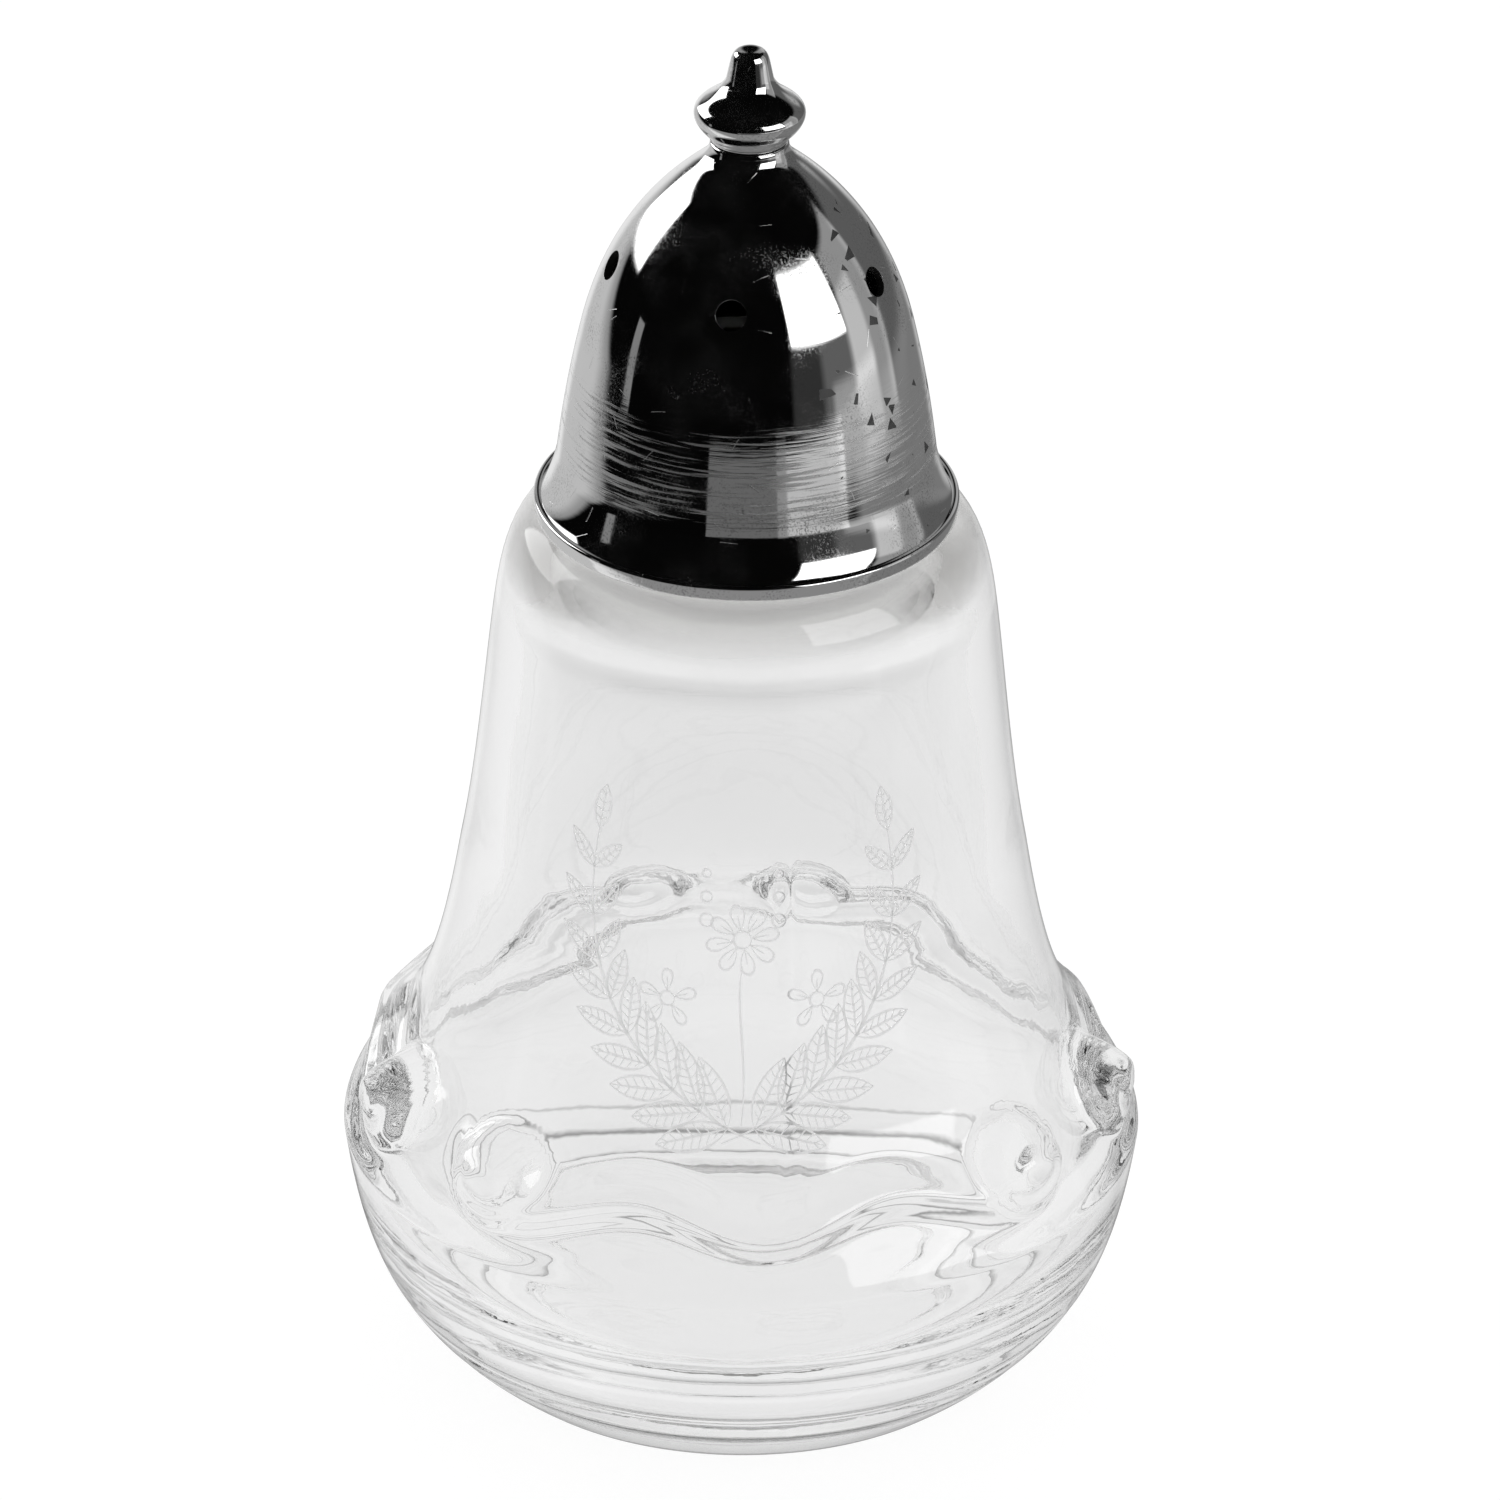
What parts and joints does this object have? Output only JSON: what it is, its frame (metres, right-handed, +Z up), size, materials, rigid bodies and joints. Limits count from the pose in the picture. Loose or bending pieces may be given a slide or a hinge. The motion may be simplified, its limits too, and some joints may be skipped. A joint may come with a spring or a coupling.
{
  "type": "glass shaker",
  "caption": "Table shaker for salt: bell-shaped clear glass jar with a moulded scroll ridge, screw neck and plated dome lid with sprinkle holes and a turned finial.",
  "frame": {"origin": "centre of the foot, on the plane that the jar stands on", "axes": "+Z up along the jar's axis; -Y towards the front, as the picture sees it; +X to the right"},
  "size_m": [0.0494, 0.0494, 0.0882],
  "materials": {
    "jar_glass": "clear pressed glass, fire polished, with a fine frosted spray on the front",
    "lid_plate": "silver plate on brass, polished, with fine scratches and small tarnish spots",
    "bare_brass": "dull brass, unplated"
  },
  "bodies": {
    "jar": {"glass_jar": "jar_glass"},
    "lid_lift": {"finial_washer": "bare_brass"},
    "lid": {"lid_dome": "lid_plate", "thread_collar": "bare_brass", "finial": "lid_plate"}
  },
  "joints": [
    {"name": "lid_rise", "type": "slide", "parent": "jar", "child": "lid_lift", "axis": [0, 0, 1], "range_m": [0, 0.009]},
    {"name": "lid_turn", "type": "hinge", "parent": "lid_lift", "child": "lid", "pos_m": [0, 0, 0.0575], "axis": [0, 0, 1], "range_deg": [0, 900]}
  ],
  "couplings": [
    {"joint": "lid_rise", "follows": "lid_turn", "m_per_rad": 0.00057296}
  ]
}
